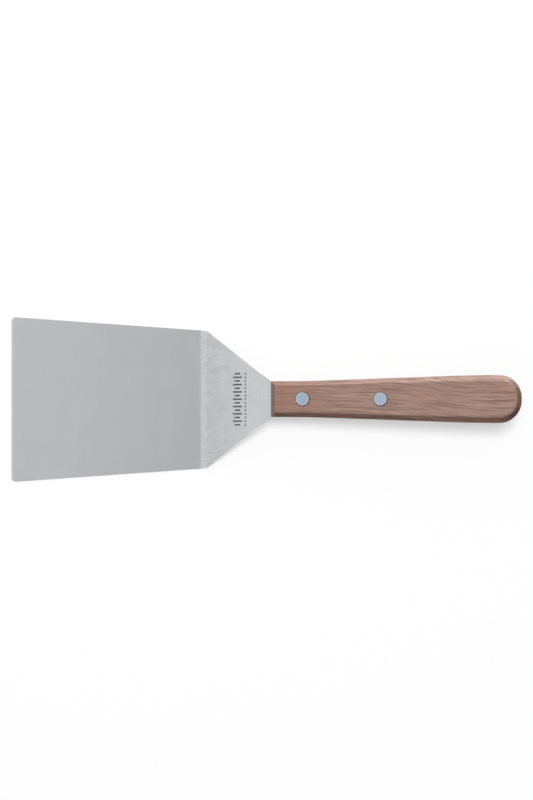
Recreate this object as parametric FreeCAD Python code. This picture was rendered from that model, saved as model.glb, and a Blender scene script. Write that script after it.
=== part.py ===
"""Wide offset turner: a cranked stainless blade on a half tang, riveted into a slotted wood handle.

Six pieces, each its own solid in its own node:
  blade                 one sheet: flat, crank bend, ramp, counter bend, neck and the half tang in the handle
  handle                one piece of wood with a saw kerf for the tang and counterbored rivet holes
  front_rivet_female, rear_rivet_female   tubular halves, heads flush with the handle's underside
  front_rivet_male, rear_rivet_male       solid halves, heads flush with the handle's top

The frame: +X runs from the blade towards the handle's end, +Z is up. The blade's flat lies on Z = 0, and
the origin is on that plane, in the middle of the turner's length and width.
"""
import FreeCAD, Part

import math
import os

from FreeCAD import Placement, Rotation, Vector

# ---- driving dimensions, in millimetres and degrees ----
SHEET = 1.5                   # thickness of the blade's sheet

BLADE_FRONT_HALF = 50.0       # half width at the front edge, before its corners are rounded
BLADE_REAR_HALF = 42.1        # half width where the crank bend starts
SHOULDER_HALF = 41.45         # half width at the shoulder corners, where the sides turn in
NECK_HALF = 10.8              # half width where the neck's square shoulders rest on the handle's front
FLAT_RUN = 114.1              # front edge to the start of the crank bend
FRONT_CORNER_R = 3.0
EDGE_BEVEL_RUN = 1.2          # ground bevel along the front edge: how far it runs back
EDGE_BEVEL_DROP = 0.9         # and how much of the sheet's thickness it takes

CRANK = 33.0                  # the ramp's angle above the flat
HANDLE_LIFT = 5.0             # the handle's angle above the flat
BEND_R = 5.0                  # radius of both bends, at the middle of the sheet
RAMP_RUN = 35.95              # straight stretch between the two bends
SHOULDER_RUN = 2.1            # from the end of the crank bend to the shoulder corners
NECK_RUN = 7.35               # from the end of the counter bend to the handle

HANDLE_LENGTH = 149.15
HANDLE_THICKNESS = 15.0
HANDLE_FRONT_HALF = 10.7      # half width of the handle's parallel front
HANDLE_REAR_HALF = 14.3       # half width at its widest, near the end
FLARE_START = (10.0, 30.0)    # where the sides ease from parallel into the flare
FLARE_END = (111.0, 135.0)    # where they ease back to parallel
END_CORNER_R = 13.4
CHAMFER_DEPTH = 3.0
CHAMFER_FRONT = 2.6           # chamfer's width in plan along the sides at the front
CHAMFER_REAR = 3.4            # and at the rear
CHAMFER_END = 3.0             # and across both ends

TANG_LENGTH = 76.0            # how much of the sheet is inside the handle
TANG_INSET = 0.15             # the wood stands this proud of the tang's edges
TANG_CORNER_R = 5.0
KERF_DEPTH = 78.5             # the saw kerf's depth on the centre line
SAW_R = 80.0                  # the kerf ends in the arc that a saw disc leaves

RIVET_AT = (18.8, 65.2)       # rivet centres, from the handle's front
RIVET_HEAD_R = 4.0
RIVET_HEAD_THICKNESS = 1.6
RIVET_HEAD_CHAMFER = 0.2
TUBE_R = 2.5                  # outside of the female half's tube
SHANK_R = 1.6                 # the male half's shank, a press fit in the tube
SHANK_END = -4.5              # height of the shank's tip, from the handle's middle plane
TANG_HOLE_R = 2.6

BEND_SECTIONS = 9             # sections that a bend is lofted through
TOUCH = 1e-6                  # lengths under this count as nothing


# ---- the sheet, followed along its developed length ----
def blade_stretches():
    """The sheet's stretches from the front edge to the handle: (developed length, angle turned upwards)."""
    return [
        (FLAT_RUN, 0.0),
        (BEND_R * math.radians(CRANK), CRANK),
        (RAMP_RUN, 0.0),
        (BEND_R * math.radians(CRANK - HANDLE_LIFT), HANDLE_LIFT - CRANK),
        (NECK_RUN, 0.0),
    ]


def place_at(developed):
    """The middle of the sheet at a developed length from the front edge: x, z and slope in degrees."""
    x, z, slope = 0.0, SHEET / 2, 0.0
    left = developed
    for length, turned in blade_stretches():
        run = min(left, length)
        if turned:
            side = math.copysign(1.0, turned)
            to = slope + turned * run / length
            x += side * BEND_R * (math.sin(math.radians(to)) - math.sin(math.radians(slope)))
            z -= side * BEND_R * (math.cos(math.radians(to)) - math.cos(math.radians(slope)))
            slope = to
        else:
            x += run * math.cos(math.radians(slope))
            z += run * math.sin(math.radians(slope))
        left -= run
        if left <= 0:
            break
    return x, z, slope


def shoulder_start():
    """Developed length at the shoulder corners."""
    return FLAT_RUN + BEND_R * math.radians(CRANK) + SHOULDER_RUN


def neck_end():
    """Developed length where the sheet enters the handle."""
    return sum(length for length, _ in blade_stretches())


def half_width_at(developed):
    """Half the sheet's width: a slow taper, then straight diagonals from the shoulders to the handle."""
    knots = [
        (0.0, BLADE_FRONT_HALF),
        (FLAT_RUN, BLADE_REAR_HALF),
        (shoulder_start(), SHOULDER_HALF),
        (neck_end(), NECK_HALF),
    ]
    for (s0, w0), (s1, w1) in zip(knots, knots[1:]):
        if developed <= s1:
            return w0 + (w1 - w0) * (developed - s0) / (s1 - s0)
    return knots[-1][1]


def sheet_corners(developed):
    """The sheet's section at a developed length: its two lower corners, then its two upper ones."""
    x, z, slope = place_at(developed)
    up = Vector(-math.sin(math.radians(slope)), 0, math.cos(math.radians(slope))) * (SHEET / 2)
    middle = Vector(x, 0, z)
    side = Vector(0, half_width_at(developed), 0)
    return [middle - side - up, middle + side - up, middle + side + up, middle - side + up]


def closed_polygon(points):
    return Part.makePolygon(points + points[:1])


def straight_stretch(start, end):
    """A flat stretch of the sheet: its lower face, drawn up through the sheet's thickness."""
    near, far = sheet_corners(start), sheet_corners(end)
    lower = Part.Face(closed_polygon([near[0], near[1], far[1], far[0]]))
    return lower.extrude(near[3] - near[0])


def bent_stretch(start, end):
    steps = [start + (end - start) * i / (BEND_SECTIONS - 1) for i in range(BEND_SECTIONS)]
    return Part.makeLoft([closed_polygon(sheet_corners(s)) for s in steps], True, False)


# ---- outlines ----
def eased(x0, x1, y0, y1, slope0, slope1):
    """A smooth curve between two straight sides, tangent to both."""
    meet = (y1 - y0 + slope0 * x0 - slope1 * x1) / (slope0 - slope1)
    curve = Part.BezierCurve()
    curve.setPoles([Vector(x0, y0, 0), Vector(meet, y0 + slope0 * (meet - x0), 0), Vector(x1, y1, 0)])
    return curve.toShape()


def flare(front_half, rear_half):
    """The sides' slope between the eased stretches, and the half widths at that slope's two ends."""
    ease_in = (FLARE_START[1] - FLARE_START[0]) / 2
    ease_out = (FLARE_END[1] - FLARE_END[0]) / 2
    run = FLARE_END[0] - FLARE_START[1]
    slope = (rear_half - front_half) / (run + ease_in + ease_out)
    return slope, front_half + slope * ease_in, rear_half - slope * ease_out


def line(x0, y0, x1, y1):
    return Part.LineSegment(Vector(x0, y0, 0), Vector(x1, y1, 0)).toShape()


def handle_side(front_x, front_half, end_x, rear_half):
    """One side of the handle's outline in plan, from its front to the middle of its end."""
    slope, half_in, half_out = flare(front_half, rear_half)
    flat_half = HANDLE_REAR_HALF - END_CORNER_R
    corner_r = rear_half - flat_half
    corner_x = end_x - corner_r
    diagonal = corner_r * math.cos(math.radians(45))
    corner = Part.Arc(
        Vector(corner_x, rear_half, 0),
        Vector(corner_x + diagonal, flat_half + diagonal, 0),
        Vector(end_x, flat_half, 0),
    )
    return [
        line(front_x, front_half, FLARE_START[0], front_half),
        eased(FLARE_START[0], FLARE_START[1], front_half, half_in, 0.0, slope),
        line(FLARE_START[1], half_in, FLARE_END[0], half_out),
        eased(FLARE_END[0], FLARE_END[1], half_out, rear_half, slope, 0.0),
        line(FLARE_END[1], rear_half, corner_x, rear_half),
        corner.toShape(),
    ]


def handle_outline(inset_front, inset_rear, inset_end, z):
    """The handle's closed outline at height z, drawn in from its outer outline by the three insets."""
    front_half = HANDLE_FRONT_HALF - inset_front
    end_x = HANDLE_LENGTH - inset_end
    flat_half = HANDLE_REAR_HALF - END_CORNER_R
    side = handle_side(inset_end, front_half, end_x, HANDLE_REAR_HALF - inset_rear)
    mirrored = [edge.mirror(Vector(0, 0, 0), Vector(0, 1, 0)) for edge in side]
    front = line(inset_end, -front_half, inset_end, front_half)
    end = line(end_x, flat_half, end_x, -flat_half)
    wire = Part.Wire(Part.__sortEdges__([front] + side + [end] + mirrored))
    wire.translate(Vector(0, 0, z))
    return wire


# ---- the pieces ----
def is_upright(edge):
    return edge.BoundBox.XLength + edge.BoundBox.YLength < TOUCH


def in_handle_frame(shape):
    """Moves a shape drawn from the middle of the handle's front to where the sheet enters the handle."""
    x, z, slope = place_at(neck_end())
    shape.Placement = Placement(Vector(x, 0, z), Rotation(Vector(0, 1, 0), -slope)) * shape.Placement
    return shape


def tang():
    """The part of the sheet inside the handle: it follows the handle's outline, just inside it."""
    outline = Part.Face(handle_outline(TANG_INSET, TANG_INSET, 0.0, -SHEET / 2))
    wide = 2 * HANDLE_REAR_HALF
    length = Part.makeBox(TANG_LENGTH, 2 * wide, SHEET, Vector(0, -wide, -SHEET / 2))
    sheet = outline.extrude(Vector(0, 0, SHEET)).common(length)
    corners = [edge for edge in sheet.Edges if is_upright(edge) and edge.CenterOfMass.x > TANG_LENGTH / 2]
    sheet = sheet.makeFillet(TANG_CORNER_R, corners)
    for x in RIVET_AT:
        sheet = sheet.cut(Part.makeCylinder(TANG_HOLE_R, SHEET, Vector(x, 0, -SHEET / 2)))
    return in_handle_frame(sheet)


def front_panel():
    """The blade's flat, with rounded front corners and a bevel ground along the top of its front edge."""
    panel = straight_stretch(0, FLAT_RUN)
    front_corners = [edge for edge in panel.Edges if is_upright(edge) and edge.CenterOfMass.x < TOUCH]
    panel = panel.makeFillet(FRONT_CORNER_R, front_corners)
    profile = [
        Vector(0, -BLADE_FRONT_HALF, SHEET - EDGE_BEVEL_DROP),
        Vector(EDGE_BEVEL_RUN, -BLADE_FRONT_HALF, SHEET),
        Vector(0, -BLADE_FRONT_HALF, SHEET),
    ]
    bevel = Part.Face(closed_polygon(profile)).extrude(Vector(0, 2 * BLADE_FRONT_HALF, 0))
    return panel.cut(bevel)


def blade():
    """The whole sheet as one solid, from the front edge to the end of the tang."""
    bend_end = FLAT_RUN + BEND_R * math.radians(CRANK)
    ramp_end = bend_end + RAMP_RUN
    counter_end = ramp_end + BEND_R * math.radians(CRANK - HANDLE_LIFT)
    stretches = [
        bent_stretch(FLAT_RUN, bend_end),
        straight_stretch(bend_end, shoulder_start()),
        straight_stretch(shoulder_start(), ramp_end),
        bent_stretch(ramp_end, counter_end),
        straight_stretch(counter_end, neck_end()),
        tang(),
    ]
    return front_panel().multiFuse(stretches).removeSplitter()


def handle():
    """One piece of wood: flat faces, chamfers all round both faces, the tang's kerf and the rivet holes."""
    half = HANDLE_THICKNESS / 2
    wall = half - CHAMFER_DEPTH
    body = Part.Face(handle_outline(0, 0, 0, -wall)).extrude(Vector(0, 0, 2 * wall))
    for side in (1, -1):
        outer = handle_outline(0, 0, 0, side * wall)
        inner = handle_outline(CHAMFER_FRONT, CHAMFER_REAR, CHAMFER_END, side * half)
        body = body.fuse(Part.makeLoft([outer, inner], True, True))
    saw = Part.makeCylinder(SAW_R, SHEET, Vector(KERF_DEPTH - SAW_R, 0, -SHEET / 2))
    body = body.removeSplitter().cut(saw)
    for x in RIVET_AT:
        body = body.cut(Part.makeCylinder(TUBE_R, HANDLE_THICKNESS, Vector(x, 0, -half)))
        for z in (-half, half - RIVET_HEAD_THICKNESS):
            body = body.cut(Part.makeCylinder(RIVET_HEAD_R, RIVET_HEAD_THICKNESS, Vector(x, 0, z)))
    return in_handle_frame(body)


def turned(profile, x):
    """A solid of revolution about the rivet axis at x, from its profile as (radius, height) points."""
    points = [Vector(x + radius, 0, height) for radius, height in profile]
    face = Part.Face(closed_polygon(points))
    return face.revolve(Vector(x, 0, 0), Vector(0, 0, 1), 360)


def rivet_male(x):
    """The solid half: a flat head flush with the handle's top, and a shank down into the tube."""
    top = HANDLE_THICKNESS / 2
    return in_handle_frame(turned([
        (0, SHANK_END),
        (SHANK_R, SHANK_END),
        (SHANK_R, top - RIVET_HEAD_THICKNESS),
        (RIVET_HEAD_R, top - RIVET_HEAD_THICKNESS),
        (RIVET_HEAD_R, top - RIVET_HEAD_CHAMFER),
        (RIVET_HEAD_R - RIVET_HEAD_CHAMFER, top),
        (0, top),
    ], x))


def rivet_female(x):
    """The tubular half: a head flush with the handle's underside, and a tube up to the male half's head."""
    bottom = -HANDLE_THICKNESS / 2
    tube_end = HANDLE_THICKNESS / 2 - RIVET_HEAD_THICKNESS
    return in_handle_frame(turned([
        (0, bottom),
        (RIVET_HEAD_R - RIVET_HEAD_CHAMFER, bottom),
        (RIVET_HEAD_R, bottom + RIVET_HEAD_CHAMFER),
        (RIVET_HEAD_R, bottom + RIVET_HEAD_THICKNESS),
        (TUBE_R, bottom + RIVET_HEAD_THICKNESS),
        (TUBE_R, tube_end),
        (SHANK_R, tube_end),
        (SHANK_R, SHANK_END),
        (0, SHANK_END),
    ], x))


def main():
    pieces = {"blade": blade(), "handle": handle()}
    for name, x in zip(("front", "rear"), RIVET_AT):
        pieces[name + "_rivet_male"] = rivet_male(x)
        pieces[name + "_rivet_female"] = rivet_female(x)

    whole = Part.makeCompound(list(pieces.values())).BoundBox
    to_origin = Vector(-(whole.XMin + whole.XMax) / 2, 0, 0)

    os.makedirs("parts", exist_ok=True)
    for name, shape in pieces.items():
        shape.translate(to_origin)
        shape.exportStep("parts/" + name + ".step")
        print(name, "solids", len(shape.Solids), "valid", shape.isValid(), "volume", round(shape.Volume, 1))
    print("moved by", round(to_origin.x, 3))
    print("box", [round(side, 2) for side in (whole.XLength, whole.YLength, whole.ZLength)])


main()
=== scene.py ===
"""The looks of a wide offset turner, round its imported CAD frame.

Each piece is made the way its maker would: the blade as a flat blank that is then bent, the handle as a
shaped block that is sawn and bored, and the rivets on a lathe. Each keeps the size and place of the CAD node
that it replaces.
"""
import math

import bmesh
import bpy
from mathutils import Matrix, Vector


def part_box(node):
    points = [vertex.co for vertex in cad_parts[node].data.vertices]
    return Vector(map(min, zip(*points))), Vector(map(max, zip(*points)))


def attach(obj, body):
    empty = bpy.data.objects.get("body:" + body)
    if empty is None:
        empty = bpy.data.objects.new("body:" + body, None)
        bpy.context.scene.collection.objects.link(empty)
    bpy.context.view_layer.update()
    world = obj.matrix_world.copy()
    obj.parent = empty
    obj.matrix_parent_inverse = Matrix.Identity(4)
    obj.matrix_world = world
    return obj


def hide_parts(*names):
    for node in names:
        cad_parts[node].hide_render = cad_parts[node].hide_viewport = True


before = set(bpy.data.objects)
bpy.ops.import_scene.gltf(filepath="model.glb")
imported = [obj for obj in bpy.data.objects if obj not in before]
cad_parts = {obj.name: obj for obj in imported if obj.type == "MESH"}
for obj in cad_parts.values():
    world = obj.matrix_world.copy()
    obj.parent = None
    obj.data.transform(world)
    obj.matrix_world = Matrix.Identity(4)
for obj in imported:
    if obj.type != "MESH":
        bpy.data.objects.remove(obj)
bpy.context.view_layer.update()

MM = 0.001                    # shapes are drawn in millimetres, and placed in metres

# ---- the blade, in millimetres and degrees ----
SHEET = 1.5
BLADE_FRONT_HALF = 49.97
BLADE_REAR_HALF = 42.1
SHOULDER_HALF = 41.45
NECK_HALF = 10.8
FLAT_RUN = 114.1
FRONT_CORNER_R = 3.0
EDGE_BEVEL_RUN = 1.2
EDGE_BEVEL_DROP = 0.9
NOSE_R = 0.2                  # the front edge is broken by this radius
RIM_R = 0.15                  # and the blank's other edges by this one
SHOULDER_EASE = 0.5           # how far each way the shoulder corners are rounded
NECK_STEP = 0.02              # the neck's square shoulders are this far from truly square

CRANK = 33.0
HANDLE_LIFT = 5.0
BEND_R = 5.0
RAMP_RUN = 35.95
SHOULDER_RUN = 2.1
NECK_RUN = 7.35

# Developed lengths from the blade's front edge to where each stretch of the sheet starts.
RAMP_AT = FLAT_RUN + BEND_R * math.radians(CRANK)
SHOULDER_AT = RAMP_AT + SHOULDER_RUN
COUNTER_BEND_AT = RAMP_AT + RAMP_RUN
NECK_AT = COUNTER_BEND_AT + BEND_R * math.radians(CRANK - HANDLE_LIFT)
TANG_AT = NECK_AT + NECK_RUN

# ---- the handle ----
HANDLE_LENGTH = 149.15
HANDLE_THICKNESS = 15.0
HANDLE_FRONT_HALF = 10.7
HANDLE_REAR_HALF = 14.3
FLARE_START = (10.0, 30.0)    # from here to here the sides ease from parallel into the flare
FLARE_END = (111.0, 135.0)    # and from here to here out of it
FRONT_CORNER_EASE = 0.6
END_CORNER_R = 13.4
CHAMFER_DEPTH = 3.0           # down from the top face, and up from the bottom one
CHAMFER_FRONT = 2.6           # in from the sides, at the front
CHAMFER_REAR = 3.4            # and at the rear
CHAMFER_END = 3.0             # in from the rear end
CHAMFER_NOSE = 2.4            # in from the front end, where sanding left the chamfer narrower
CHAMFER_BIAS = 0.2            # sanding also moved the top and bottom faces this much to +Y
ARRIS_R = 0.7                 # sanding has rounded the chamfers' edges

TANG_LENGTH = 76.0
TANG_INSET = 0.15
TANG_CORNER_R = 5.0
KERF_DEPTH = 78.5
KERF_SLACK = 0.04             # the kerf is this much wider than the tang, each side
SAW_R = 80.0

# ---- the rivets ----
RIVET_AT = (18.8, 65.2)
RIVET_HEAD_R = 4.0
RIVET_HEAD_THICKNESS = 1.6
RIVET_EDGE = 0.3
COUNTERBORE_R = 4.28
COUNTERBORE_SHIFT = 0.12      # each counterbore is this much off its rivet, to the rear and to -Y
TUBE_R = 2.5
SHANK_R = 1.6
SHANK_END = -4.5
BORE_SLACK = 0.05
FACE_CENTRE_R = 0.05          # a head's face closes with a disc this small

# ---- meshes ----
FRONT_SETBACK = 0.01          # the blade's front edge is this far inside the CAD box
BLADE_FRONT_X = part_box("blade")[0].x / MM + FRONT_SETBACK
CREASE = math.radians(28)     # edges that turn by more than this stay crisp
ROOM = 0.45                   # a rounding takes at most this share of a side
OVERSHOOT = 1.0               # cutters stand this far out of a face
BLADE_COLUMNS = 12            # vertices across each face of the blade, its rim included
RIM_STEPS = 4                 # round each corner of its section
LATHE_STEPS = 72
SAW_STEPS = 240
SIDE_STEPS = 56               # along each of the handle's long sides
END_STEPS = 18                # round each of its rear corners
CORNER_STEPS = 5              # and round each of its front ones

# ---- steel: colours are linear light, and lengths are along the blank from the front edge ----
STEEL = (0.643, 0.655, 0.670)
STEEL_PAINTED_LIGHT = (                # painted light along the blade, brighter at the front of the flat, with painted highlights and shade at the bends, up the ramp and on the neck: from, to, and by what factor
    (8.0, 38.0, 1.03),
    (25.0, FLAT_RUN, 0.97),
    (FLAT_RUN, FLAT_RUN + 0.6, 0.84),
    (FLAT_RUN + 1.0, FLAT_RUN + 2.2, 1.13),
    (RAMP_AT + 1.2, RAMP_AT + 3.4, 0.905),
    (RAMP_AT, RAMP_AT + 33.0, 1.12),
    (COUNTER_BEND_AT + 0.2, COUNTER_BEND_AT + 1.1, 0.945),
    (COUNTER_BEND_AT + 1.5, NECK_AT + 0.2, 1.18),
)
ETCHING = (0.07, 0.07, 0.075)
ETCHING_STRENGTH = 0.9
SCALE_HALF = 16.5             # the etched scale's half length, across the ramp
SCALE_MARKS = (               # rows: pitch, shift, half length along the ramp, half width, and where they lie
    (4.4, 2.2, 3.1, 0.46, 141.0),
    (4.4, 0.0, 1.9, 0.46, 141.0),
    (2.2, 1.1, 0.4, 0.55, 146.6),
)

# ---- wood ----
WOOD_PALE = (0.455, 0.293, 0.233)
WOOD_BROWN = (0.365, 0.216, 0.165)
WOOD_REDDISH = (0.385, 0.208, 0.168)
WOOD_FINE = (0.26, 0.148, 0.108)
WOOD_FIBRE = (0.235, 0.130, 0.094)
WOOD_LINE = (0.190, 0.100, 0.074)
WOOD_FLECK = (0.52, 0.37, 0.30)
WOOD_FRONT = (0.30, 0.134, 0.088)
# painted shade laid on the chamfers: most on -Y, at the front and round the rear corner
WOOD_PAINTED_SHADE = (0.05, 0.02, 0.012)
# the ends' colours: dark end grain with painted shade, and at the front a painted grey reflection of the
# steel neck
WOOD_END_AND_PAINTED_SHADE = {-1: (0.092, 0.100, 0.095), 1: (0.088, 0.045, 0.026)}
END_GRAIN_AND_PAINTED_SHADE = {-1: 0.60, 1: 0.52}   # how much of the end colour shows, at the front (-1) and the rear (1): end grain with painted shade, greyed at the front by a painted reflection of the neck
GRAIN_DRIFT = (66.0, 122.0, 8.0)  # from here to here along the handle, the fibres move this far across it
GRAIN_WANDER = 2.5                # and everywhere they wander up to this far either way
GLOSS_CLEAN = 0.9                 # the specular level of untouched wood
GLOSS_HANDLED = 0.25              # and of the chamfers that are handled most

# ---- aluminium ----
RIVET_DARK = (0.51, 0.625, 0.75)
RIVET_LIGHT = (0.57, 0.685, 0.815)
RIVET_CLOUD = (0.50, 0.58, 0.69)
RIVET_DULL = (0.30, 0.37, 0.45)
# a painted highlight round each rivet's rim
RIVET_RIM_HIGHLIGHT = (0.62, 0.70, 0.80)
RIM_HIGHLIGHT_RING = (3.1, 3.5)         # the radii between which a rivet's face turns to its painted rim highlight

# ---- the studio, in metres ----
SOFTBOXES = {                 # place, size and watts
    "key": ((0.15, 1.10, 0.62), (1.2, 0.5), 10.0),
    "side": ((0.30, 0.35, 0.13), (0.2, 0.1), 0.45),
    "overhead": ((-0.08, 0.42, 3.00), (0.8, 0.8), 185.0),
}
LAMP_TARGET = (0.0, 0.0, 0.01)
LAMP_UP = (0.0, 0.1, 1.0)
WORLD_BASE = 0.24                     # how bright the surroundings are before the slope and the panel
WORLD_SLOPE = (-0.20, 0.33, 0.335)    # they brighten towards -X, +Y and up
WORLD_FLOOR = 0.20                    # and are nowhere dimmer than this
WORLD_PANEL = 0.35                    # how much brighter they are over the -X half
WORLD_PANEL_EDGE = (0.0, -0.13)       # and where that half's soft edge starts and ends
TABLE_GLOW = 0.485
TABLE_GREY = 0.20
TABLE_HALF = 6.0
TABLE_DROP = 0.0002                   # the floor lies this far below the blade, clear of it
CAMERA_LENS = 88.57
CAMERA_REACH = 20.0                   # how far the camera sees
CAMERA_PLACE = (-0.061, -0.012, 1.2)
CAMERA_TARGET = (0.00216, -0.00030, 0.0)
CAMERA_UP = (0.0, 1.0, 0.0)
WHITE = (1.0, 1.0, 1.0, 1.0)


# ---- the bent sheet ----
def place_at(developed):
    """The middle of the bent sheet at a developed length from the front edge: x, z and slope in radians."""
    stretches = (
        (FLAT_RUN, 0.0),
        (RAMP_AT - FLAT_RUN, math.radians(CRANK)),
        (RAMP_RUN, 0.0),
        (NECK_AT - COUNTER_BEND_AT, math.radians(HANDLE_LIFT - CRANK)),
        (NECK_RUN + TANG_LENGTH, 0.0),
    )
    x, z, slope = BLADE_FRONT_X, SHEET / 2, 0.0
    left = developed
    for length, turn in stretches:
        run = min(left, length)
        if turn:
            side = math.copysign(BEND_R, turn)
            after = slope + turn * run / length
            x += side * (math.sin(after) - math.sin(slope))
            z -= side * (math.cos(after) - math.cos(slope))
            slope = after
        else:
            x += run * math.cos(slope)
            z += run * math.sin(slope)
        left -= run
        if left <= 0:
            break
    return x, z, slope


def fold(point):
    """Bends the blank: takes its point, in millimetres, to the place on the turner, in metres."""
    x, z, slope = place_at(point.x)
    return Vector((x - point.z * math.sin(slope), point.y, z + point.z * math.cos(slope))) * MM


def handle_matrix():
    """From the handle's own millimetres, whose origin is its front's middle, to its place on the turner."""
    x, z, slope = place_at(TANG_AT)
    spot = Matrix.Translation(Vector((x, 0, z)) * MM)
    return spot @ Matrix.Rotation(-slope, 4, "Y") @ Matrix.Scale(MM, 4)


# ---- mesh tools ----
def spread(start, end, count):
    """count values from start to end, both included."""
    return [start + (end - start) * k / (count - 1) for k in range(count)]


def arc(centre, radius, start, end, count):
    """Points on an arc between two angles in degrees."""
    angles = [math.radians(a) for a in spread(start, end, count)]
    return [(centre[0] + radius * math.cos(a), centre[1] + radius * math.sin(a)) for a in angles]


def rounded(points, radius, count=6):
    """An open line with each inner corner rounded to about the radius, or as far as there is room."""
    line = [points[0]]
    for before, corner, after in zip(points, points[1:], points[2:]):
        corner = Vector(corner)
        back, on = Vector(before) - corner, Vector(after) - corner
        half = back.angle(on) / 2
        reach = min(radius / math.tan(half), back.length * ROOM, on.length * ROOM)
        start, end = corner + back.normalized() * reach, corner + on.normalized() * reach
        for t in spread(0, 1, count):
            line.append(tuple(start * (1 - t) ** 2 + corner * 2 * t * (1 - t) + end * t * t))
    return line + [points[-1]]


def skin(name, loops):
    """An object with a closed mesh through a row of loops, which have the same number of points each."""
    count = len(loops[0])
    faces = [tuple(range(count)), tuple(range(count * (len(loops) - 1), count * len(loops)))]
    for row in range(len(loops) - 1):
        for k in range(count):
            here, beside = row * count + k, row * count + (k + 1) % count
            faces.append((here, beside, beside + count, here + count))
    mesh = bpy.data.meshes.new(name)
    mesh.from_pydata([point for loop in loops for point in loop], [], faces)
    shape = bmesh.new()
    shape.from_mesh(mesh)
    bmesh.ops.recalc_face_normals(shape, faces=shape.faces)
    shape.to_mesh(mesh)
    shape.free()
    made = bpy.data.objects.new(name, mesh)
    bpy.context.scene.collection.objects.link(made)
    return made


def lathed(name, profile, x, y=0.0, steps=LATHE_STEPS):
    """A turned solid about the upright axis at x and y, from its profile as (radius, height) points."""
    last = 360 * (1 - 1 / steps)
    return skin(name, [[(px, py, height) for px, py in arc((x, y), radius, 0, last, steps)]
                       for radius, height in profile])


def drum(x, radius, low, high, y=0.0, steps=LATHE_STEPS):
    """An upright cylinder, to cut with."""
    return lathed("cutter", [(radius, low), (radius, high)], x, y, steps)


def cut(piece, cutters):
    """Cuts the cutters out of the piece, and removes them."""
    for cutter in cutters:
        modifier = piece.modifiers.new("cut", "BOOLEAN")
        modifier.operation = "DIFFERENCE"
        modifier.solver = "EXACT"
        modifier.object = cutter
        depsgraph = bpy.context.evaluated_depsgraph_get()
        result = bpy.data.meshes.new_from_object(piece.evaluated_get(depsgraph))
        piece.modifiers.clear()
        piece.data = result
        bpy.data.objects.remove(cutter)


def settle(piece, node, material, where):
    """Finishes a piece: keeps its workshop coordinates for the material, and puts it in its node's place."""
    mesh = piece.data
    stock = mesh.attributes.new("stock", "FLOAT_VECTOR", "POINT")
    for vertex, kept in zip(mesh.vertices, stock.data):
        kept.vector = vertex.co
        vertex.co = where(vertex.co)
    shape = bmesh.new()
    shape.from_mesh(mesh)
    for face in shape.faces:
        face.smooth = True
    for edge in shape.edges:
        edge.smooth = edge.calc_face_angle(0) < CREASE
    shape.to_mesh(mesh)
    shape.free()
    even = piece.modifiers.new("even_normals", "WEIGHTED_NORMAL")
    even.keep_sharp = True
    mesh.materials.clear()
    mesh.materials.append(material)
    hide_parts(node)
    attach(piece, "root")
    return piece


# ---- the blade ----
def blank_half_width(developed):
    """Half the blank's width, before its corners are rounded."""
    if developed >= TANG_AT:
        return handle_half_width(developed - TANG_AT, HANDLE_FRONT_HALF, HANDLE_REAR_HALF) - TANG_INSET
    knots = (
        (0.0, BLADE_FRONT_HALF),
        (FLAT_RUN, BLADE_REAR_HALF),
        (SHOULDER_AT, SHOULDER_HALF),
        (TANG_AT, NECK_HALF),
    )
    for (s0, w0), (s1, w1) in zip(knots, knots[1:]):
        if developed < s1:
            return w0 + (w1 - w0) * (developed - s0) / (s1 - s0)


def corner_loss(distance, radius):
    """How much a rounded corner takes off the width at a distance from the end."""
    short = max(0.0, radius - distance)
    return radius - math.sqrt(radius ** 2 - short ** 2)


def blank_loop(developed):
    """The blank's section at a developed length: flat faces, with the rim broken all round."""
    half = blank_half_width(developed)
    if abs(developed - SHOULDER_AT) < SHOULDER_EASE:
        near = SHOULDER_EASE - abs(developed - SHOULDER_AT)
        half = (blank_half_width(developed - near) + 2 * half + blank_half_width(developed + near)) / 4
    half -= corner_loss(developed, FRONT_CORNER_R)
    half -= corner_loss(TANG_AT + TANG_LENGTH - developed, TANG_CORNER_R)
    nose = corner_loss(developed, NOSE_R)
    low = nose - SHEET / 2
    high = SHEET / 2 - nose - EDGE_BEVEL_DROP * max(0.0, 1 - developed / EDGE_BEVEL_RUN)
    r = min(RIM_R, (high - low) * ROOM)
    across = spread(half - r, r - half, BLADE_COLUMNS)[1:-1]
    loop = arc((half - r, low + r), r, -90, 0, RIM_STEPS)
    loop += arc((half - r, high - r), r, 0, 90, RIM_STEPS)
    loop += [(y, high) for y in across]
    loop += arc((r - half, high - r), r, 90, 180, RIM_STEPS)
    loop += arc((r - half, low + r), r, 180, 270, RIM_STEPS)
    loop += [(-y, low) for y in across]
    return [(developed, y, z) for y, z in loop]


def blank_stations():
    """Where along the blank its sections lie: closest together where it is rounded or bent."""
    end = TANG_AT + TANG_LENGTH
    rounding = [1 - math.cos(math.radians(a)) for a in range(15, 91, 15)]    # shares of a corner's radius
    stations = {0.0, EDGE_BEVEL_RUN, TANG_AT - NECK_STEP, end}
    stations.update(NOSE_R * k for k in rounding)
    stations.update(FRONT_CORNER_R * k for k in rounding)
    stations.update(end - TANG_CORNER_R * k for k in rounding)
    stretches = (             # from, to, and the number of sections
        (FRONT_CORNER_R, FLAT_RUN, 12),
        (FLAT_RUN, RAMP_AT, 16),
        (SHOULDER_AT - SHOULDER_EASE, SHOULDER_AT + SHOULDER_EASE, 9),
        (SHOULDER_AT + SHOULDER_EASE, COUNTER_BEND_AT, 8),
        (COUNTER_BEND_AT, NECK_AT, 14),
        (TANG_AT, end - TANG_CORNER_R, 20),
    )
    for first, last, count in stretches:
        stations.update(spread(first, last, count))
    return sorted(stations)


def make_blade(material):
    """The blade and its tang: cut to outline, drilled for the rivets' tubes and then bent."""
    blade = skin("blade_sheet", [blank_loop(developed) for developed in blank_stations()])
    cut(blade, [drum(TANG_AT + x, TUBE_R + 2 * BORE_SLACK, -SHEET, SHEET) for x in RIVET_AT])
    settle(blade, "blade", material, fold)


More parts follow.
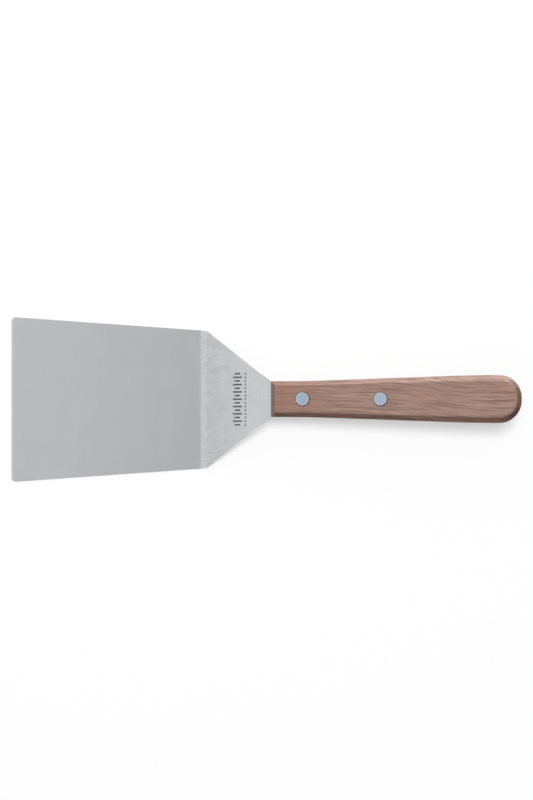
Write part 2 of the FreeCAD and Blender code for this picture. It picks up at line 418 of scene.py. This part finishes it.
# ---- the handle ----
def handle_half_width(x, front, rear):
    """Half the width at x: parallel, easing into a straight flare, and easing back to parallel."""
    ease_in, straight = FLARE_START[1] - FLARE_START[0], FLARE_END[0] - FLARE_START[1]
    ease_out = FLARE_END[1] - FLARE_END[0]
    slope = (rear - front) / (ease_in / 2 + straight + ease_out / 2)
    a = min(max(x - FLARE_START[0], 0), ease_in)
    b = min(max(x - FLARE_START[1], 0), straight)
    c = min(max(x - FLARE_END[0], 0), ease_out)
    return front + slope * (a * a / (2 * ease_in) + b + c - c * c / (2 * ease_out))


def handle_ring(inset, height):
    """The handle's outline in plan, drawn in by the inset: a little less at the front, more at the rear."""
    share = inset / CHAMFER_END
    front = HANDLE_FRONT_HALF - share * CHAMFER_FRONT
    rear = HANDLE_REAR_HALF - share * CHAMFER_REAR
    first, last = share * CHAMFER_NOSE, HANDLE_LENGTH - inset
    end_half = HANDLE_REAR_HALF - END_CORNER_R
    end_r = rear - end_half
    ease = FRONT_CORNER_EASE
    side = arc((first + ease, front - ease), ease, 180, 90, CORNER_STEPS)
    stretch = spread(first + 2 * ease, last - end_r, SIDE_STEPS)[:-1]
    side += [(x, handle_half_width(x, front, rear)) for x in stretch]
    side += arc((last - end_r, end_half), end_r, 90, 0, END_STEPS)
    outline = side + [(x, -y) for x, y in reversed(side)]
    return [(x, y + share * CHAMFER_BIAS, height) for x, y in outline]


def make_handle(material):
    """A chamfered block, sawn from the front for the tang, and bored and counterbored for the rivets."""
    top = HANDLE_THICKNESS / 2
    wall = top - CHAMFER_DEPTH
    well_in = 2 * CHAMFER_END
    upper = [(0, wall), (CHAMFER_END, top), (well_in, top)]
    lower = [(inset, -height) for inset, height in reversed(upper)]
    handle = skin("handle_wood", [handle_ring(inset, z) for inset, z in rounded(lower + upper, ARRIS_R)])
    half_kerf = SHEET / 2 + KERF_SLACK
    cutters = [drum(KERF_DEPTH - SAW_R, SAW_R, -half_kerf, half_kerf, steps=SAW_STEPS)]
    seat = top - RIVET_HEAD_THICKNESS
    for x in RIVET_AT:
        aside = x + COUNTERBORE_SHIFT
        cutters.append(drum(x, TUBE_R + BORE_SLACK, -top, top))
        cutters.append(drum(aside, COUNTERBORE_R, seat, top + OVERSHOOT, -COUNTERBORE_SHIFT))
        cutters.append(drum(aside, COUNTERBORE_R, -top - OVERSHOOT, -seat, -COUNTERBORE_SHIFT))
    cut(handle, cutters)
    matrix = handle_matrix()
    return settle(handle, "handle", material, lambda point: matrix @ point)


# ---- the rivets ----
def head(radius, face, seat):
    """A head's rim and face as profile points, from the seat outwards: the rim's edge is broken."""
    return rounded([(radius, seat), (radius, face), (FACE_CENTRE_R, face)], RIVET_EDGE)


def make_rivets(material):
    """Two rivets in two halves each: a shank with its head on top, and a tube with its head underneath."""
    top = HANDLE_THICKNESS / 2
    seat = top - RIVET_HEAD_THICKNESS
    male = rounded([(SHANK_R / 2, SHANK_END), (SHANK_R, SHANK_END), (SHANK_R, 0)], BORE_SLACK)
    male += [(SHANK_R, seat)] + head(RIVET_HEAD_R, top, seat)
    bore = [(SHANK_R, seat), (SHANK_R, SHANK_END), (SHANK_R / 2, SHANK_END)]
    female = head(RIVET_HEAD_R, -top, -seat)[::-1] + [(TUBE_R, -seat), (TUBE_R, seat)] + bore
    matrix = handle_matrix()
    for name, x in zip(("front", "rear"), RIVET_AT):
        for half, profile in (("male", male), ("female", female)):
            node = name + "_rivet_" + half
            rivet = lathed(node + "_turned", profile, x)
            settle(rivet, node, material, lambda point: matrix @ point)


# ---- material tools ----
def add(tree, kind, inputs=None, **settings):
    """A node with its settings, and its inputs given values or linked to other nodes' outputs."""
    made = tree.nodes.new(kind)
    for key, value in settings.items():
        setattr(made, key, value)
    for socket, value in (inputs or {}).items():
        if isinstance(value, bpy.types.NodeSocket):
            tree.links.new(value, made.inputs[socket])
        else:
            made.inputs[socket].default_value = value
    return made


def new_material(name):
    """An empty material, and its node tree."""
    material = bpy.data.materials.new(name)
    material.use_nodes = True
    material.node_tree.nodes.clear()
    return material, material.node_tree


def shade(tree, **inputs):
    """The material's one shader, with its inputs named in the shader's own words."""
    named = {key.replace("_", " ").title().replace("Ior", "IOR"): value for key, value in inputs.items()}
    shader = add(tree, "ShaderNodeBsdfPrincipled", named)
    add(tree, "ShaderNodeOutputMaterial", {"Surface": shader.outputs["BSDF"]})


def stock_position(tree):
    """The point on the piece as it was in the workshop, in millimetres."""
    return add(tree, "ShaderNodeAttribute", attribute_name="stock").outputs["Vector"]


def split(tree, vector):
    """A vector's three values: along, across and up."""
    return tuple(add(tree, "ShaderNodeSeparateXYZ", {"Vector": vector}).outputs)


def dot(tree, first, second):
    """How far two vectors point the same way."""
    node = add(tree, "ShaderNodeVectorMath", {0: first, 1: second}, operation="DOT_PRODUCT")
    return node.outputs["Value"]


def math_node(tree, operation, *values):
    """One sum on values, by its name in Blender."""
    return add(tree, "ShaderNodeMath", dict(enumerate(values)), operation=operation).outputs[0]


def plus(tree, total, *others):
    """The sum of any number of values."""
    for other in others:
        total = math_node(tree, "ADD", total, other)
    return total


def times(tree, product, *others):
    """The product of any number of values."""
    for other in others:
        product = math_node(tree, "MULTIPLY", product, other)
    return product


def grainy(tree, position, size, detail=2.0, roughness=0.5, offset=(0.0, 0.0, 0.0)):
    """Noise from 0 to 1 whose blotches are about size millimetres along each axis."""
    stretched = add(tree, "ShaderNodeMapping", {
        "Vector": position,
        "Location": offset,
        "Scale": tuple(1 / length for length in size),
    })
    noise = add(tree, "ShaderNodeTexNoise", {
        "Vector": stretched.outputs[0], "Scale": 1.0, "Detail": detail, "Roughness": roughness,
    })
    return noise.outputs["Fac"]


def fit(tree, value, low, high, to_low=0.0, to_high=1.0, smooth=False):
    """Maps low..high to to_low..to_high and stops at both ends."""
    kind = "SMOOTHSTEP" if smooth else "LINEAR"
    return add(tree, "ShaderNodeMapRange", {
        "Value": value, "From Min": low, "From Max": high, "To Min": to_low, "To Max": to_high,
    }, interpolation_type=kind).outputs["Result"]


def swing(tree, noise, low=0.0, high=1.0):
    """Spreads a noise over low..high: most of it lies between 0.3 and 0.7."""
    return fit(tree, noise, 0.3, 0.7, low, high)


def mix(tree, factor, first, second, blend="MIX"):
    """Mixes two colours."""
    node = add(tree, "ShaderNodeMix", {"Factor": factor}, data_type="RGBA", blend_type=blend)
    for socket, value in ((node.inputs[6], first), (node.inputs[7], second)):
        if isinstance(value, bpy.types.NodeSocket):
            tree.links.new(value, socket)
        else:
            socket.default_value = (*value, 1.0)
    return node.outputs[2]


def layered(tree, colour, layers):
    """Lays colours over a first one: each layer is how much of it shows, and its colour."""
    for amount, layer in layers:
        colour = mix(tree, amount, colour, layer)
    return colour


def bumpy(tree, height, strength, depth):
    """The normal of a surface that rises and falls with the height, by a depth in millimetres."""
    inputs = {"Strength": strength, "Distance": depth * MM, "Height": height}
    return add(tree, "ShaderNodeBump", inputs).outputs[0]


# ---- steel ----
def satin_steel():
    """Stainless sheet, satin brushed across the blade, with press marks and an etched scale on its ramp, and
    painted highlights and shade along its bends, ramp and neck.
    """
    material, tree = new_material("satin_steel")
    position = stock_position(tree)
    along, across, height = split(tree, position)
    hairlines = grainy(tree, position, (0.25, 30.0, 30.0), 3.0, 0.6)
    streaks = grainy(tree, position, (3.0, 70.0, 70.0), 3.0, 0.55)
    clouds = grainy(tree, position, (14.0, 18.0, 18.0), 2.0)
    tone_and_painted_light = plus(
        tree,
        swing(tree, hairlines, -0.012, 0.012),
        swing(tree, streaks, -0.008, 0.008),
        swing(tree, clouds, 0.985, 1.015),
    )
    # painted light: brighter at the front of the flat, highlights and shade at the bends, brighter up the
    # ramp and on the neck
    for start, end, factor in STEEL_PAINTED_LIGHT:
        tone_and_painted_light = times(tree, tone_and_painted_light, fit(tree, along, start, end, 1.0, factor))
    tone_and_painted_light = plus(tree, tone_and_painted_light, press_marks(tree, position, along))
    grey = add(tree, "ShaderNodeCombineColor", {"Red": tone_and_painted_light, "Green": tone_and_painted_light, "Blue": tone_and_painted_light}).outputs[0]
    etched = etched_scale(tree, along, across, height)
    colour = mix(tree, etched, mix(tree, 1.0, STEEL, grey, "MULTIPLY"), ETCHING)
    roughness = plus(tree, swing(tree, streaks, 0.28, 0.33), times(tree, etched, 0.2))
    normal = bumpy(tree, hairlines, 0.12, 0.02)
    shade(tree, base_color=colour, metallic=1.0, roughness=roughness, normal=normal)
    return material


def press_marks(tree, position, along):
    """The faint short dashes that the press left across the ramp, and its mottling."""
    dashes = swing(tree, grainy(tree, position, (4.0, 0.8, 0.8), 1.0, 0.5), -0.05, 0.05)
    mottle = swing(tree, grainy(tree, position, (9.0, 5.0, 5.0), 2.0, 0.6), -0.07, 0.07)
    near_bend = fit(tree, along, SHOULDER_AT, SHOULDER_AT + 26.0, 0.9, 0.45)
    on_ramp = fit(tree, along, RAMP_AT - 2.0, RAMP_AT)
    return times(tree, plus(tree, dashes, mottle), near_bend, on_ramp)


def etched_scale(tree, along, across, height):
    """How dark the etching is: a row of long and short ticks across the ramp, with dashes behind them."""
    on_top = math_node(tree, "GREATER_THAN", height, 0.0)
    in_scale = times(tree, math_node(tree, "COMPARE", across, 0.0, SCALE_HALF), on_top)
    marks = 0.0
    for pitch, shift, half_long, half_wide, middle in SCALE_MARKS:
        phase = math_node(tree, "WRAP", plus(tree, across, shift), pitch, 0.0)
        in_tick = math_node(tree, "COMPARE", phase, pitch / 2, half_wide)
        in_row = math_node(tree, "COMPARE", along, middle, half_long)
        marks = math_node(tree, "MAXIMUM", marks, times(tree, in_tick, in_row))
    return times(tree, marks, in_scale, ETCHING_STRENGTH)


# ---- wood ----
def handle_wood():
    """Close-grained brown wood, redder at the front, dark where cut across and dull where handled, with
    painted shade on the chamfers and ends and a painted grey reflection of the neck on its front end.
    """
    material, tree = new_material("handle_wood")
    position = stock_position(tree)
    along, across, height = split(tree, position)
    flow = grain_flow(tree, position, along, across, height)
    fine = grainy(tree, flow, (16.0, 0.4, 0.4), 2.0, 0.6)
    bands = grainy(tree, flow, (70.0, 2.4, 4.0), 3.0, 0.55, (3.0, 0.0, 0.0))
    chamfers = on_chamfers(tree, along, height)
    colour = layered(tree, grain_colour(tree, flow, fine, bands), (
        (fit(tree, along, 6.0, 40.0, 0.5, 0.0), WOOD_FRONT),
        (painted_chamfer_shade(tree, along, across, chamfers), WOOD_PAINTED_SHADE),
        (end_grain_and_painted_shade(tree, -1), WOOD_END_AND_PAINTED_SHADE[-1]),
        (end_grain_and_painted_shade(tree, 1), WOOD_END_AND_PAINTED_SHADE[1]),
    ))
    roughness = swing(tree, bands, 0.40, 0.50)
    gloss = fit(tree, dulled(tree, along, across, chamfers), 0.0, 1.0, GLOSS_CLEAN, GLOSS_HANDLED)
    normal = bumpy(tree, fine, 0.25, 0.06)
    shade(tree, base_color=colour, roughness=roughness, ior=1.45, specular_ior_level=gloss, normal=normal)
    return material


def grain_flow(tree, position, along, across, height):
    """The point as the fibres see it: they drift across behind the rear rivet, and wander a little."""
    start, end, reach = GRAIN_DRIFT
    drift = fit(tree, along, start, end, 0.0, reach, smooth=True)
    waves = grainy(tree, position, (45.0, 30.0, 30.0), 1.0)
    wander = fit(tree, waves, 0.0, 1.0, -GRAIN_WANDER, GRAIN_WANDER)
    shifted = plus(tree, across, drift, wander)
    return add(tree, "ShaderNodeCombineXYZ", {"X": along, "Y": shifted, "Z": height}).outputs[0]


def grain_colour(tree, flow, fine, bands):
    """Pale and brown growth bands, under reddish patches, fibres, dark lines and short pale flecks."""
    tint = grainy(tree, flow, (50.0, 6.0, 6.0), 2.0, 0.5, (0.0, 7.0, 0.0))
    fibres = grainy(tree, flow, (15.0, 0.80, 0.80), 2.0, 0.55, (0.0, 0.0, 4.0))
    lines = grainy(tree, flow, (30.0, 1.25, 1.25), 2.0, 0.6, (0.0, 5.0, 0.0))
    flecks = grainy(tree, flow, (1.8, 0.5, 0.5), 0.0, 0.5, (0.0, 0.0, 11.0))
    return layered(tree, mix(tree, fit(tree, bands, 0.35, 0.68), WOOD_PALE, WOOD_BROWN), (
        (fit(tree, tint, 0.40, 0.62, 0.0, 0.55), WOOD_REDDISH),
        (fit(tree, fine, 0.40, 0.70, 0.0, 0.40), WOOD_FINE),
        (fit(tree, fibres, 0.48, 0.62, 0.0, 0.70), WOOD_FIBRE),
        (fit(tree, lines, 0.54, 0.61, 0.0, 0.65), WOOD_LINE),
        (fit(tree, flecks, 0.70, 0.80, 0.0, 0.35), WOOD_FLECK),
    ))


def on_chamfers(tree, along, height):
    """1 on the sides, long chamfers and rear, 0 on the top and bottom faces and at the front end."""
    face = HANDLE_THICKNESS / 2
    off_faces = fit(tree, math_node(tree, "ABSOLUTE", height), face - 0.7, face - 0.2, 1.0, 0.0)
    return times(tree, off_faces, fit(tree, along, CHAMFER_NOSE * 0.5, CHAMFER_NOSE * 1.2))


def painted_chamfer_shade(tree, along, across, chamfers):
    """How far painted shade darkens the chamfers: most on -Y, at the front and round the rear corner."""
    side = fit(tree, across, -3.0, 3.0, 0.42, 0.13)
    front = times(tree, side, fit(tree, along, 0.0, 120.0, 1.0, 0.15))
    corner = times(tree, fit(tree, along, 132.0, 143.0), fit(tree, across, -3.0, -10.0), 0.62)
    return times(tree, math_node(tree, "MAXIMUM", front, corner), chamfers)


def dulled(tree, along, across, chamfers):
    """How far handling has taken the gloss off: all along the -Y side, and round most of the rear."""
    rear = times(tree, fit(tree, along, 138.0, 144.0), fit(tree, across, 9.0, 3.0))
    side = fit(tree, across, -3.0, 3.0, 1.0, 0.0)
    return times(tree, math_node(tree, "MAXIMUM", side, rear), chamfers)


def end_grain_and_painted_shade(tree, towards):
    """How much the surface faces the handle's front (-1) or rear (1), where the fibres are cut across: there
    the end grain is darkened further by painted shade, and the front is greyed by a painted reflection of the
    steel neck.
    """
    normal = add(tree, "ShaderNodeNewGeometry").outputs["Normal"]
    lift = math.radians(HANDLE_LIFT)
    facing = dot(tree, normal, (towards * math.cos(lift), 0.0, towards * math.sin(lift)))
    return fit(tree, facing, 0.3, 0.7, 0.0, END_GRAIN_AND_PAINTED_SHADE[towards])


# ---- aluminium ----
def rivet_aluminium():
    """Aluminium sanded flush along the handle: duller on the front rivet, with a painted highlight along the
    rims.
    """
    material, tree = new_material("rivet_aluminium")
    position = stock_position(tree)
    along, across = split(tree, position)[:2]
    scratches = grainy(tree, position, (6.0, 0.12, 0.12), 3.0, 0.6)
    clouds = grainy(tree, position, (3.0, 3.0, 3.0), 1.0)
    colour = layered(tree, mix(tree, swing(tree, scratches), RIVET_DARK, RIVET_LIGHT), (
        (swing(tree, clouds, 0.0, 0.3), RIVET_CLOUD),
        (fit(tree, along, *RIVET_AT, 0.22, 0.0), RIVET_DULL),
        (on_rims(tree, along, across), RIVET_RIM_HIGHLIGHT),
    ))
    roughness = swing(tree, scratches, 0.34, 0.46)
    normal = bumpy(tree, scratches, 0.15, 0.02)
    shade(tree, base_color=colour, metallic=1.0, roughness=roughness, normal=normal)
    return material


def on_rims(tree, along, across):
    """0 in the middle of a rivet's face and 1 on its rim, where the highlight is painted. Folded at
    mid-pitch, both rivets are one.
    """
    mid_pitch = sum(RIVET_AT) / 2
    folded = math_node(tree, "ABSOLUTE", math_node(tree, "SUBTRACT", along, mid_pitch))
    aside = math_node(tree, "SUBTRACT", folded, RIVET_AT[1] - mid_pitch)
    flat = add(tree, "ShaderNodeCombineXYZ", {"X": aside, "Y": across}).outputs[0]
    radius = add(tree, "ShaderNodeVectorMath", {0: flat}, operation="LENGTH").outputs["Value"]
    return fit(tree, radius, *RIM_HIGHLIGHT_RING)


# ---- the stage ----
def white_table():
    """A pale floor, wide enough for every view, that throws no light back on the wood."""
    material, tree = new_material("white_table")
    shade(tree, base_color=(TABLE_GREY, TABLE_GREY, TABLE_GREY, 1.0), roughness=1.0, specular_ior_level=0.0,
          emission_color=WHITE, emission_strength=TABLE_GLOW)
    mesh = bpy.data.meshes.new("table")
    corners = [(x * TABLE_HALF, y * TABLE_HALF, 0) for x, y in ((-1, -1), (1, -1), (1, 1), (-1, 1))]
    mesh.from_pydata(corners, [], [(0, 1, 2, 3)])
    mesh.materials.append(material)
    table = bpy.data.objects.new("table", mesh)
    table.location.z = -TABLE_DROP
    table.visible_diffuse = False
    bpy.context.scene.collection.objects.link(table)
    return table


def aimed(thing, place, target, up):
    """Puts a camera or light at a place, looking at the target."""
    back = (Vector(place) - Vector(target)).normalized()
    right = Vector(up).cross(back).normalized()
    turn = Matrix((right, back.cross(right), back)).transposed().to_4x4()
    thing.matrix_world = Matrix.Translation(place) @ turn
    bpy.context.scene.collection.objects.link(thing)


def softbox(name, receiver):
    """A soft light that lights only the receiver."""
    place, size, watts = SOFTBOXES[name]
    light = bpy.data.lights.new(name, "AREA")
    light.shape = "RECTANGLE"
    light.size, light.size_y = size
    light.energy = watts
    lamp = bpy.data.objects.new(name, light)
    aimed(lamp, place, LAMP_TARGET, LAMP_UP)
    lit = bpy.data.collections.new("lit_by_" + name)
    lit.objects.link(receiver)
    lamp.light_linking.receiver_collection = lit


def surroundings():
    """A plain studio all round: brighter upwards, towards +Y and over the -X half."""
    world = bpy.data.worlds.new("studio")
    world.use_nodes = True
    tree = world.node_tree
    tree.nodes.clear()
    direction = add(tree, "ShaderNodeTexCoord").outputs["Generated"]
    panel = fit(tree, split(tree, direction)[0], *WORLD_PANEL_EDGE, 0.0, WORLD_PANEL, smooth=True)
    level = plus(tree, dot(tree, direction, WORLD_SLOPE), WORLD_BASE, panel)
    level = math_node(tree, "MAXIMUM", level, WORLD_FLOOR)
    glow = add(tree, "ShaderNodeBackground", {"Color": WHITE, "Strength": level})
    add(tree, "ShaderNodeOutputWorld", {"Surface": glow.outputs[0]})
    bpy.context.scene.world = world


def camera():
    """Nearly straight down on the turner, with the blade on the left."""
    data = bpy.data.cameras.new("camera")
    data.lens = CAMERA_LENS
    data.clip_end = CAMERA_REACH
    made = bpy.data.objects.new("camera", data)
    aimed(made, CAMERA_PLACE, CAMERA_TARGET, CAMERA_UP)
    bpy.context.scene.camera = made


def main():
    """Builds the turner, then the studio round it."""
    make_blade(satin_steel())
    handle = make_handle(handle_wood())
    make_rivets(rivet_aluminium())
    softbox("key", handle)
    softbox("side", handle)
    softbox("overhead", white_table())
    surroundings()
    camera()
    bpy.context.scene.view_settings.view_transform = "Standard"


main()
